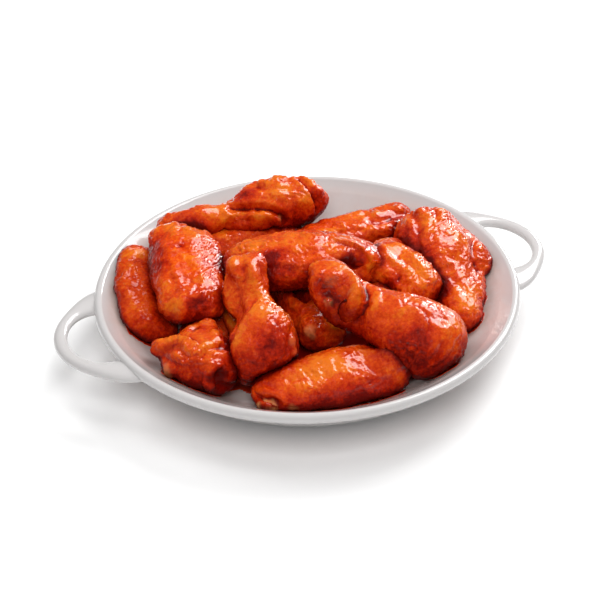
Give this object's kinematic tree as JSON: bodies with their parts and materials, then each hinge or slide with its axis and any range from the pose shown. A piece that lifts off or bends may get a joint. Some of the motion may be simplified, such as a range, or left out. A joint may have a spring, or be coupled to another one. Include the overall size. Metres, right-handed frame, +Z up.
{
  "type": "chicken wings serving",
  "caption": "Sauced chicken wing flats and drumettes heaped in a round white dish with two loop handles.",
  "frame": {"origin": "centre of the dish's foot ring, on the surface it stands on", "axes": "+X along the two loop handles, +Z up out of the dish, +Y across the dish towards its far side"},
  "size_m": [0.2988, 0.2458, 0.0682],
  "materials": {
    "porcelain": "glazed white porcelain",
    "sauced_skin": "fried chicken skin under a wet, glossy red-orange hot sauce"
  },
  "bodies": {
    "root": {"dish": "porcelain", "drumette_back_left": "sauced_skin", "drumette_center": "sauced_skin", "drumette_front_left": "sauced_skin", "drumette_low_right": "sauced_skin", "drumette_right": "sauced_skin", "drumette_right_front": "sauced_skin", "flat_back_center": "sauced_skin", "flat_back_right": "sauced_skin", "flat_center": "sauced_skin", "flat_center_low": "sauced_skin", "flat_front": "sauced_skin", "flat_left_outer": "sauced_skin", "flat_left_top": "sauced_skin", "flat_low_left": "sauced_skin", "flat_right_center": "sauced_skin"}
  },
  "joints": []
}
